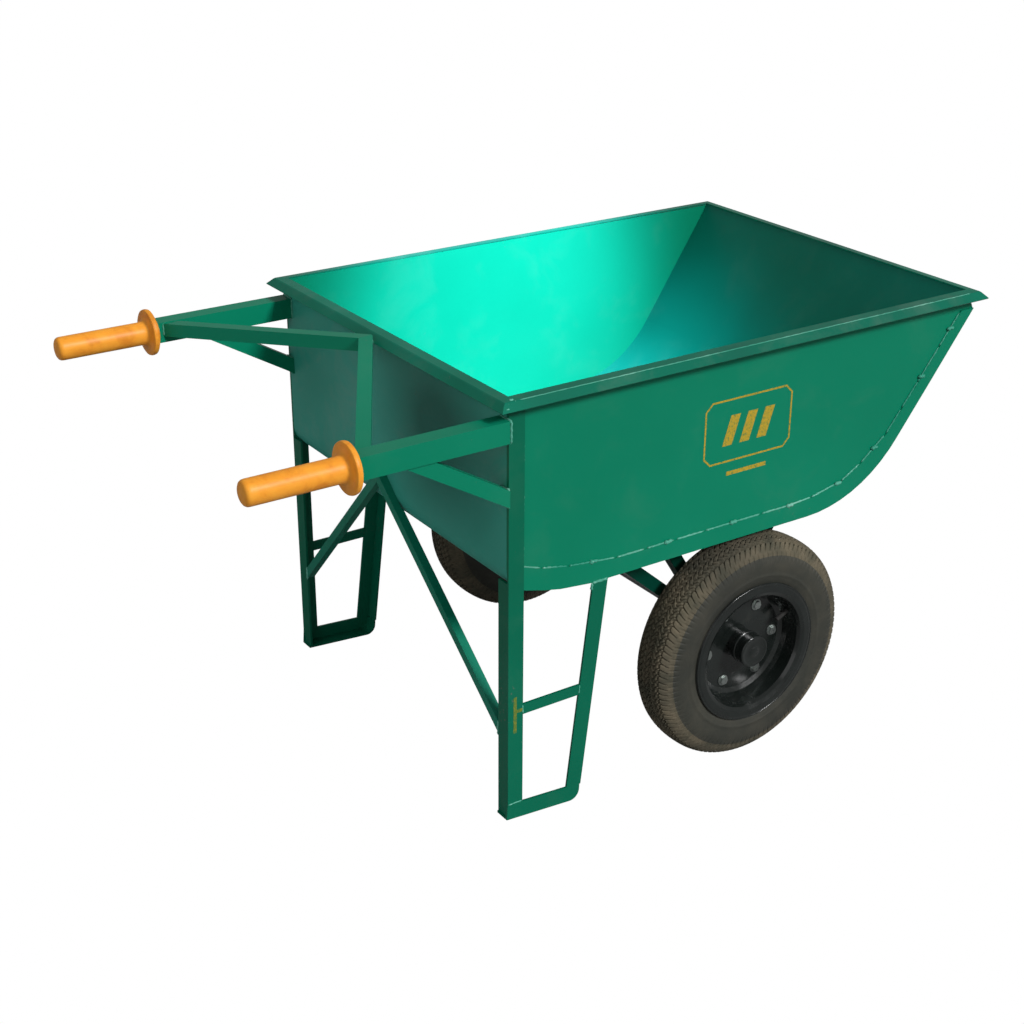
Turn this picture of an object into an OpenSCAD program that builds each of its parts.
/* [Tray] */
// Tray width over the side panels
tray_w = 700; // [500:10:900]
// Length of the rim opening
tray_l = 948; // [700:1:1200]
// Height of the rim above the foot of the rear leg
rim_h = 727; // [600:1:850]
// Height of the floor's top face
floor_h = 400; // [350:1:450]
// Sheet thickness of the side panels and rear wall
sheet_t = 2; // [1:0.5:4]
// Sheet thickness of the floor and front wall
floor_t = 2.5; // [1:0.5:4]
// Width of the folded flange on the rim
flange_w = 15; // [8:1:30]
// Extra width of the drooping skirt outside the flange
skirt_w = 11; // [4:1:20]
// Thickness of the strip welded round each panel's lower edge
band_t = 3; // [2:0.5:5]

/* [Legs and handles] */
// Leg of the L angle used for the stand
angle_w = 28; // [20:1:40]
// Thickness of the L angle
angle_t = 4; // [3:0.5:6]
// Height of the main handle tube
tube_h = 35; // [25:1:50]
// Width of the main handle tube
tube_w = 30; // [20:1:50]
// Diameter of the grip
grip_d = 39; // [30:1:50]
// Diameter of the grip's hand guard
guard_d = 78; // [50:1:100]

/* [Wheels] */
// Tyre outer radius
tyre_r = 203; // [180:1:220]
// Distance of each wheel's centre plane from the middle
wheel_y = 333; // [300:1:360]
// Axle shaft radius
axle_r = 10; // [8:0.5:12.5]
// Running clearance of the bearings on the shaft, radial
run_gap = 0.04; // [0.01:0.01:0.1]
// Number of bolts in each split rim
bolt_n = 6; // [4:1:8]
// Rim bolt circle radius
bolt_pr = 72; // [50:1:85]

/* [Hidden] */

lean = 4;              // the barrow stands nose up by this much
xs = -218.15;          // puts the origin under the middle
ax = 469;              // axle, before the shift
py = tray_w / 2;       // outer face of the side panels
x0 = -8;               // rear fold of the rim
x1 = x0 + tray_l;      // front fold of the rim
bend_x = 600; bend_z = 633; bend_r = bend_z - floor_h;   // front bend
front_a = 56.6;        // slope of the front wall
fz = floor_h - floor_t; // underside of the floor
tz = 676;              // handle tube centre height
gz = 678;              // grip centre height
hy = 346;              // handle centre plane
sy0 = 263; sy1 = 286;  // struts, inner and outer face
rail_h = 20;
GREEN = [0.0, 0.46, 0.35];

module place() translate([xs, 0, 0]) rotate([0, -lean, 0]) children();
module world() translate([xs, 0, 0]) children();
module side(s) if (s > 0) children(); else mirror([0, 1, 0]) children();
module xz(pts, ya, yb) translate([0, yb, 0]) rotate([90, 0, 0]) linear_extrude(yb - ya) polygon(pts);
module ycyl(x, z, r, ya, yb, n = 96) translate([x, ya, z]) rotate([-90, 0, 0]) cylinder(r = r, h = yb - ya, $fn = n);
module box(a, b) translate(a) cube(b - a);

// lower edge of a side panel, rear to front
function low_edge() = [[x0, 450], [x0 + 1.5, 436], [x0 + 6, 424], [x0 + 14, 414.5], [24, 407], [61, 397], [89, 391], [147, 385], [bend_x, 385]];
function low_arc() = [for (a = [6:6:48]) [bend_x + 248 * sin(a), bend_z - 248 * cos(a)]];
function low_front() = [[bend_x + 248 * sin(52.4), bend_z - 248 * cos(52.4)], [863, 568], [951, 684], [957, 692]];

module side_panel(s) color(GREEN) place() side(s)
  xz(concat(low_edge(), low_arc(), low_front(), [[x1 + 2, rim_h - 4], [x0, rim_h - 2.7]]), py - sheet_t, py);

module rear_wall() color(GREEN) place() {
  box([x0, -py + sheet_t, 449.9], [x0 + sheet_t, py - sheet_t, rim_h - 2.7]);
  intersection() {
    difference() {
      ycyl(x0 + 44, 450, 44, -py + sheet_t, py - sheet_t);
      ycyl(x0 + 44, 450, 42, -py, py);
    }
    xz([[x0 + 44, 450], [x0 - 5, 450], [x0 - 5, 380], [x0 + 44 - 90 * sin(10), 450 - 90 * cos(10)]], -py, py);
  }
  intersection() {
    translate([x0 + 44 - 44 * sin(10), 0, 450 - 44 * cos(10)]) rotate([0, 10, 0])
      translate([-0.1, -py + sheet_t, 0]) cube([80, tray_w - 2 * sheet_t, sheet_t]);
    box([-20, -py, fz], [70, py, 450]);
  }
}

module floor_sheet() color(GREEN) place() box([70, -py + sheet_t, fz], [bend_x, py - sheet_t, floor_h]);

module front_wall() color(GREEN) place() {
  intersection() {
    difference() {
      ycyl(bend_x, bend_z, bend_r + floor_t, -py + sheet_t, py - sheet_t, 128);
      ycyl(bend_x, bend_z, bend_r, -py, py, 128);
    }
    xz([[bend_x, bend_z], [bend_x, 330], [bend_x + 140, 330], [bend_x + 400 * sin(front_a), bend_z - 400 * cos(front_a)]], -py, py);
  }
  intersection() {
    translate([bend_x + bend_r * sin(front_a), 0, bend_z - bend_r * cos(front_a)]) rotate([0, -front_a, 0])
      translate([-0.1, -py + sheet_t, -floor_t]) cube([300, tray_w - 2 * sheet_t, floor_t]);
    box([bend_x, -py, 300], [x1 + 60, py, rim_h - 3]);
  }
}

// rim section: u outward from the fold, v up
function rim_sec() = [[-2.2, 0], [flange_w - 1, -1.6], [flange_w + 1, -3], [flange_w + skirt_w, -13],
  [flange_w + skirt_w - 1.6, -14.6], [flange_w, -5.2], [flange_w - 1.6, -4.2], [-2.2, -2.5]];
ro = flange_w + skirt_w + 1;

module rim_side(s) color(GREEN) place() side(s) intersection() {
  translate([x0 - 40, py, rim_h]) rotate([90, 0, 90]) linear_extrude(tray_l + 80) polygon(rim_sec());
  translate([0, 0, rim_h - 30]) linear_extrude(40)
    polygon([[x0 + 5, py - 5], [x0 - ro, py + ro], [x1 + ro, py + ro], [x1 - 5, py - 5]]);
}
module rim_end(s) color(GREEN) place() intersection() {
  translate([s > 0 ? x1 : x0, s > 0 ? py + 40 : -py - 40, rim_h]) rotate([90, 0, s > 0 ? 0 : 180])
    linear_extrude(tray_w + 80) polygon(rim_sec());
  translate([0, 0, rim_h - 30]) linear_extrude(40)
    if (s > 0) polygon([[x1 - 5, py - 5], [x1 + ro, py + ro], [x1 + ro, -py - ro], [x1 - 5, -py + 5]]);
    else polygon([[x0 + 5, py - 5], [x0 - ro, py + ro], [x0 - ro, -py - ro], [x0 + 5, -py + 5]]);
}
module rim_left() rim_side(1);
module rim_right() rim_side(-1);
module rim_front() rim_end(1);
module rim_rear() rim_end(-1);

module edge_band(s) color(GREEN) place() side(s)
  xz(concat([[x0 + angle_w, 408.7], [24, 407], [61, 397], [89, 391], [147, 385], [bend_x, 385]], low_arc(), low_front(),
    [[927, 692], [839, 579], [774, 498], [720, 456], [677, 432], [610, 418], [560, 415], [199, 415], [153, 420], [106, 425], [56, 435], [x0 + angle_w, 447]]),
    py, py + band_t);

// stand: L angles, side flange on the outside of the panel
module leg_rear_post(s) color(GREEN) side(s) {
  difference() {
    place() box([x0, py, -10], [x0 + angle_w, py + angle_t, rim_h - 3.8]);
    world() box([-100, 200, -60], [300, 500, angle_w]);
  }
  difference() {
    place() box([x0, py + angle_t - angle_w, -10], [x0 + angle_t, py, 425]);
    world() box([-100, 200, -60], [300, 500, angle_t]);
  }
}
module leg_foot_bar(s) color(GREEN) world() side(s) {
  intersection() {
    box([x0 - 2, py, 0], [132, py + angle_t, angle_w]);
    union() {
      box([x0 - 2, py - 1, 0], [114, py + 6, angle_w]);
      ycyl(114, 18, 18, py - 1, py + 6, 48);
      box([113, py - 1, 18], [132, py + 6, angle_w]);
    }
  }
  // bottom flange, bent up at the front
  intersection() {
    box([x0 - 2, foot_y, 0], [132, py, angle_w]);
    difference() {
      union() {
        box([x0 - 2, foot_y - 1, 0], [114, py + 1, angle_w]);
        ycyl(114, 18, 18, foot_y - 1, py + 1, 48);
        box([113, foot_y - 1, 18], [132, py + 1, angle_w]);
      }
      box([x0 - 10, foot_y - 2, angle_t], [114, py + 2, 60]);
      ycyl(114, 18, 18 - angle_t, foot_y - 2, py + 2, 48);
      box([113, foot_y - 2, 18], [132 - angle_t, py + 2, 60]);
    }
  }
}
fa = 6.87; // lean of the front post in the tray's frame
module leg_front_post(s) color(GREEN) side(s) difference() {
  place() intersection() {
    translate([121.5, 0, 20]) rotate([0, fa, 0]) {
      box([-angle_w / 2, py, -40], [angle_w / 2, py + angle_t, 420]);
      box([angle_w / 2 - angle_t, py + angle_t - angle_w, -40], [angle_w / 2, py, 420]);
    }
    box([0, 200, -40], [300, 500, 385]);
  }
  world() box([-100, 200, -60], [300, 500, angle_w]);
}
module leg_crossbar(s) color(GREEN) place() side(s)
  xz([[x0 + angle_w, 190], [127.8, 190], [129.9, 208], [x0 + angle_w, 208]], py, py + angle_t);

// inverted V: feet welded to the edges of the rear flanges, apex behind the tray a little left of the middle
brace_w = 15;
apex_y = 20; apex_z = 472; foot_y = py + angle_t - angle_w; foot_z = 160;
module leg_brace(s) color(GREEN) place() side(s) {
  v = [-brace_w, apex_y * s - foot_y, apex_z - foot_z];
  len = norm(v);
  difference() {
    intersection() {
      translate([x0 + brace_w / 2, foot_y, foot_z]) rotate([0, 0, atan2(v[0], -v[1])]) rotate([acos(v[2] / len), 0, 0]) difference() {
        translate([-brace_w / 2, -brace_w / 2, -40]) cube([brace_w, brace_w, len + 80]);
        translate([-brace_w / 2 + 1.5, -brace_w / 2 + 1.5, -50]) cube([brace_w - 3, brace_w - 3, len + 100]);
      }
      box([-80, apex_y * s, 60], [60, foot_y, 640]);
    }
    box([x0, -100, 430], [100, 500, 700]);
  }
}

module handle_tube(s) color(GREEN) place() side(s) {
  difference() {
    box([-258, hy - tube_w / 2, tz - tube_h / 2], [x0, hy + tube_w / 2, tz + tube_h / 2]);
    box([-254, hy - tube_w / 2 + 2.5, tz - tube_h / 2 + 2.5], [x0 + 1, hy + tube_w / 2 - 2.5, tz + tube_h / 2 - 2.5]);
  }
  translate([-424, hy, tz]) rotate([0, 90, 0]) cylinder(r = 14, h = 168, $fn = 64);
}
module handle_lower_brace(s) color(GREEN) place() side(s) intersection() {
  translate([-161, hy, tz - tube_h / 2]) rotate([0, 30.6, 0]) difference() {
    translate([-60, -12, -12]) cube([300, 24, 24]);
    translate([-61, -10, -10]) cube([302, 20, 20]);
  }
  box([-400, 300, 500], [x0, 400, tz - tube_h / 2]);
}
module handle_inner_brace(s) color(GREEN) place() side(s) {
  v = [190, -329, 34];
  intersection() {
    translate([-235, 329, 681]) rotate([0, 0, atan2(v[1], v[0])]) rotate([0, -asin(v[2] / norm(v)), 0]) difference() {
      translate([-40, -11, -11]) cube([500, 22, 22]);
      translate([-41, -9, -9]) cube([502, 18, 18]);
    }
    box([-400, 0, 600], [x0 - flange_w - skirt_w, hy - tube_w / 2, 800]);
  }
}
module grip(s) color([0.93, 0.55, 0.12]) place() side(s) translate([-430, hy, tz]) rotate([0, 90, 0]) rotate_extrude($fn = 72)
  polygon([[0, 0], [grip_d / 2 - 3, 0], [grip_d / 2, 3], [grip_d / 2, 150], [grip_d / 2 + 2, 154], [guard_d / 2 - 3, 156],
    [guard_d / 2, 159], [guard_d / 2, 163], [guard_d / 2 - 3, 166], [24, 168], [24, 171.8], [14, 171.8], [14, 6], [0, 6]]);

module chassis_rail(s) color(GREEN) place() side(s)
  difference() {
    box([78, sy0, fz - rail_h], [650, sy1, fz]);
    box([77, sy0 + 3, fz - rail_h - 1], [651, sy1 + 1, fz - 3]);
    ycyl(bend_x, bend_z, bend_r + floor_t, sy0 - 1, sy1 + 1, 128);
  }
module cross_member(x) color(GREEN) place()
  difference() {
    box([x, -sy0, fz - rail_h], [x + rail_h, sy0, fz]);
    box([x + 2.5, -sy0 - 1, fz - rail_h + 2.5], [x + rail_h - 2.5, sy0 + 1, fz - 2.5]);
  }
module cross_member_rear() cross_member(230);
module cross_member_front() cross_member(570);

// axle in the tray's frame
atx = ax * cos(lean) + tyre_r * sin(lean);
atz = -ax * sin(lean) + tyre_r * cos(lean);
sleeve_r = 22;
module bar(x, w) {
  // solid bar from the axle up to the rail at x
  dx = x - atx; dz = fz - rail_h - atz;
  intersection() {
    translate([atx, 0, atz]) rotate([0, atan2(dx, dz), 0]) box([-w / 2, sy0, 0], [w / 2, sy1, 420]);
    box([0, 200, 0], [900, 400, fz - rail_h]);
  }
}
module axle_strut_rear(s) color(GREEN) side(s) place() difference() { bar(243, 22); ycyl(atx, atz, sleeve_r, sy0 - 1, sy1 + 1, 72); }
// everything behind the front face of the bar that runs up to x
module behind(x, w) translate([atx, 0, atz]) rotate([0, atan2(x - atx, fz - rail_h - atz), 0]) box([-300, sy0 - 1, -200], [w / 2, sy1 + 1, 600]);
module axle_strut_mid(s) color(GREEN) side(s) place() difference() { bar(350, 22); behind(243, 22); ycyl(atx, atz, sleeve_r, sy0 - 1, sy1 + 1, 72); }
module axle_strut_front(s) color(GREEN) side(s) place() difference() { bar(596, 22); behind(350, 22); ycyl(atx, atz, sleeve_r, sy0 - 1, sy1 + 1, 72); }
module axle_sleeve(s) color(GREEN) side(s) world() translate([ax, 0, tyre_r]) rotate([-90, 0, 0]) rotate_extrude($fn = 72)
  polygon([[axle_r, sy0], [sleeve_r, sy0], [sleeve_r, sy1], [15, sy1], [15, wheel_y - 25.3], [axle_r, wheel_y - 25.3]]);
module axle_shaft() color([0.6, 0.6, 0.62]) world() translate([ax, 0, tyre_r]) difference() {
  rotate([90, 0, 0]) cylinder(r = axle_r, h = 2 * (wheel_y + 40), center = true, $fn = 72);
  for (s = [-1, 1]) translate([0, s * (wheel_y + 37), 0]) cylinder(r = 1.6, h = 60, center = true, $fn = 24);
}
module axle_nuts() color([0.6, 0.6, 0.62]) world() for (s = [-1, 1])
  translate([ax, s * wheel_y, tyre_r]) rotate([-90 * s, 0, 0]) {
    difference() { translate([0, 0, 25.3]) cylinder(r = 17.5, h = 2.7, $fn = 48); translate([0, 0, 20]) cylinder(r = axle_r, h = 30, $fn = 72); }
    difference() {
      union() { translate([0, 0, 28]) cylinder(r = 17, h = 7, $fn = 6); translate([0, 0, 35]) cylinder(r = 13.5, h = 4, $fn = 48); }
      translate([0, 0, 20]) cylinder(r = axle_r, h = 30, $fn = 72);
    }
    translate([0, 0, 37]) rotate([90, 0, 0]) cylinder(r = 1.3, h = 34, center = true, $fn = 24);
  }

module wheel(s) world() translate([ax, s * wheel_y, tyre_r]) rotate([-90 * s, 0, 0]) children();
function both(p) = concat(p, [for (i = [len(p) - 1:-1:0]) if (p[i][1] != 0) [p[i][0], -p[i][1]]]);
function tyre_out() = [[105, 36], [107.5, 39.5], [112, 42], [120, 42], [124, 39.8], [127, 39.8], [131, 41.5], [140, 44.3], [155, 45.2], [168, 44], [180, 40], [189, 36.5], [196.5, 31], [200.8, 22],
  [201.6, 17], [197, 16], [197, 11], [tyre_r - 0.5, 10], [tyre_r, 6], [tyre_r, 0]];
function tyre_in() = [[195, 0], [193, 18], [188, 27], [178, 34], [168, 38], [155, 39.5], [140, 38.5], [125, 35.5], [116, 33], [108, 25.5], [104.5, 26]];
module tyre(s) color([0.13, 0.13, 0.12]) wheel(s) rotate_extrude($fn = 120)
  polygon(concat(tyre_out(), [for (i = [len(tyre_out()) - 2:-1:0]) [tyre_out()[i][0], -tyre_out()[i][1]]],
    [for (i = [len(tyre_in()) - 1:-1:1]) [tyre_in()[i][0], -tyre_in()[i][1]]], tyre_in()));
va = 30; // valve angle
module inner_tube(s) color([0.1, 0.1, 0.1]) wheel(s) difference() {
  union() {
    rotate_extrude($fn = 96) polygon(both([[103, 0], [103, 12], [107, 23.5], [116, 31.5], [125, 34], [140, 37], [155, 38], [168, 36.5], [177, 33], [186, 26.5], [191.5, 17.5], [194, 0]]));
    rotate([0, 0, va]) translate([74, 0, 20]) rotate([0, 90, 0]) cylinder(r = 4, h = 34, $fn = 32);
  }
  rotate_extrude($fn = 96) polygon(both([[105, 0], [105, 11.5], [108.5, 22], [117, 29.8], [125.5, 32], [140, 35], [155, 36], [167, 34.6], [176, 31], [184.5, 25], [189.8, 16.7], [192, 0]]));
  rotate([0, 0, va]) translate([70, 0, 20]) rotate([0, 90, 0]) cylinder(r = 1.5, h = 50, $fn = 24);
}
module half_rim() difference() {
  rotate_extrude($fn = 120) polygon([[27, 0], [27, 2.5], [86, 2.5], [93.5, 7], [97.5, 15], [101.5, 36], [104.5, 42], [111, 45.3], [121, 45.5], [126, 44.2], [127.5, 42], [126, 40.8],
    [124, 42.4], [120.5, 43], [112, 42.8], [107, 40.2], [104.2, 35.5], [100.2, 14.6], [96, 5], [88, 0]]);
  for (i = [0:bolt_n - 1]) rotate([0, 0, i * 360 / bolt_n + 7]) translate([bolt_pr, 0, -1]) cylinder(r = 4.5, h = 5, $fn = 32);
}
module rim_half_outer(s) color([0.07, 0.08, 0.08]) wheel(s) difference() {
  half_rim();
  rotate([0, 0, va]) translate([80, 0, 20]) rotate([0, 90, 0]) cylinder(r = 4.5, h = 40, $fn = 32);
}
module rim_half_inner(s) color([0.07, 0.08, 0.08]) wheel(s) mirror([0, 0, 1]) half_rim();
module hub(s) color([0.07, 0.08, 0.08]) wheel(s) rotate_extrude($fn = 72)
  polygon([[18, -11], [18, 11], [23.5, 11], [23.5, 25], [27, 25], [27, -25], [23.5, -25], [23.5, -11]]);
module bearings(s) color([0.6, 0.6, 0.62]) wheel(s) for (k = [-1, 1]) translate([0, 0, 18 * k]) rotate_extrude($fn = 72)
  polygon([[axle_r + run_gap, -7], [13.4, -7], [14, -6], [19.4, -6], [20, -7], [23.5, -7], [23.5, 7], [20, 7], [19.4, 6], [14, 6], [13.4, 7], [axle_r + run_gap, 7]]);
module rim_bolts(s) color([0.5, 0.5, 0.5]) wheel(s) for (i = [0:bolt_n - 1]) rotate([0, 0, i * 360 / bolt_n + 7]) translate([bolt_pr, 0, 0]) {
  translate([0, 0, 2.5]) cylinder(r = 7.5, h = 5.5, $fn = 6);
  translate([0, 0, -11]) cylinder(r = 4, h = 14, $fn = 32);
  translate([0, 0, -9]) cylinder(r = 7.5, h = 6.5, $fn = 6);
}
module dust_cap(s) color([0.07, 0.08, 0.08]) wheel(s) rotate_extrude($fn = 72)
  polygon([[27, 17], [29, 17], [29, 38], [26, 42.5], [0, 43], [0, 41], [25, 40.5], [27, 37.5]]);

module side_panel_left() side_panel(1);
module side_panel_right() side_panel(-1);
module edge_band_left() edge_band(1);
module edge_band_right() edge_band(-1);
module leg_rear_post_left() leg_rear_post(1);
module leg_rear_post_right() leg_rear_post(-1);
module leg_foot_bar_left() leg_foot_bar(1);
module leg_foot_bar_right() leg_foot_bar(-1);
module leg_front_post_left() leg_front_post(1);
module leg_front_post_right() leg_front_post(-1);
module leg_crossbar_left() leg_crossbar(1);
module leg_crossbar_right() leg_crossbar(-1);
module leg_brace_left() leg_brace(1);
module leg_brace_right() leg_brace(-1);
module handle_tube_left() handle_tube(1);
module handle_tube_right() handle_tube(-1);
module handle_lower_brace_left() handle_lower_brace(1);
module handle_lower_brace_right() handle_lower_brace(-1);
module handle_inner_brace_left() handle_inner_brace(1);
module handle_inner_brace_right() handle_inner_brace(-1);
module grip_left() grip(1);
module grip_right() grip(-1);
module chassis_rail_left() chassis_rail(1);
module chassis_rail_right() chassis_rail(-1);
module axle_strut_rear_left() axle_strut_rear(1);
module axle_strut_rear_right() axle_strut_rear(-1);
module axle_strut_mid_left() axle_strut_mid(1);
module axle_strut_mid_right() axle_strut_mid(-1);
module axle_strut_front_left() axle_strut_front(1);
module axle_strut_front_right() axle_strut_front(-1);
module axle_sleeve_left() axle_sleeve(1);
module axle_sleeve_right() axle_sleeve(-1);
module tyre_left() tyre(1);
module tyre_right() tyre(-1);
module inner_tube_left() inner_tube(1);
module inner_tube_right() inner_tube(-1);
module rim_half_outer_left() rim_half_outer(1);
module rim_half_outer_right() rim_half_outer(-1);
module rim_half_inner_left() rim_half_inner(1);
module rim_half_inner_right() rim_half_inner(-1);
module hub_left() hub(1);
module hub_right() hub(-1);
module bearings_left() bearings(1);
module bearings_right() bearings(-1);
module rim_bolts_left() rim_bolts(1);
module rim_bolts_right() rim_bolts(-1);
module dust_cap_left() dust_cap(1);
module dust_cap_right() dust_cap(-1);

side_panel_left();
side_panel_right();
rear_wall();
floor_sheet();
front_wall();
rim_left();
rim_right();
rim_front();
rim_rear();
edge_band_left();
edge_band_right();
leg_rear_post_left();
leg_rear_post_right();
leg_foot_bar_left();
leg_foot_bar_right();
leg_front_post_left();
leg_front_post_right();
leg_crossbar_left();
leg_crossbar_right();
leg_brace_left();
leg_brace_right();
handle_tube_left();
handle_tube_right();
handle_lower_brace_left();
handle_lower_brace_right();
handle_inner_brace_left();
handle_inner_brace_right();
grip_left();
grip_right();
chassis_rail_left();
chassis_rail_right();
cross_member_rear();
cross_member_front();
axle_strut_rear_left();
axle_strut_rear_right();
axle_strut_mid_left();
axle_strut_mid_right();
axle_strut_front_left();
axle_strut_front_right();
axle_sleeve_left();
axle_sleeve_right();
axle_shaft();
axle_nuts();
tyre_left();
inner_tube_left();
rim_half_outer_left();
rim_half_inner_left();
hub_left();
bearings_left();
rim_bolts_left();
dust_cap_left();
tyre_right();
inner_tube_right();
rim_half_outer_right();
rim_half_inner_right();
hub_right();
bearings_right();
rim_bolts_right();
dust_cap_right();
